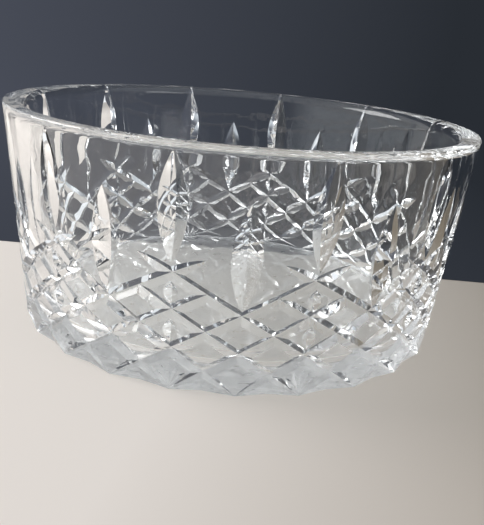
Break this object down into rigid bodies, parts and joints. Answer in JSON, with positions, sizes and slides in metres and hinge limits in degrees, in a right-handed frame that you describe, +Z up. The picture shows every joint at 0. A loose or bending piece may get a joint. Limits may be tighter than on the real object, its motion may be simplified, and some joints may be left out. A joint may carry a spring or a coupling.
{
  "type": "bowl",
  "caption": "Heavy clear cut-crystal bowl with a straight flared wall, rounded rim and flat foot, upright wedge cuts over a band of cut diamonds.",
  "frame": {"origin": "centre of the flat foot, on the surface that the bowl stands on", "axes": "+Z up along the bowl's axis; a tall wedge cut stands on +X and on -Y, and at every thirty degrees from them"},
  "size_m": [0.2298, 0.2298, 0.103],
  "materials": {
    "crystal": "polished clear"
  },
  "bodies": {
    "root": {"bowl": "crystal"}
  },
  "joints": []
}
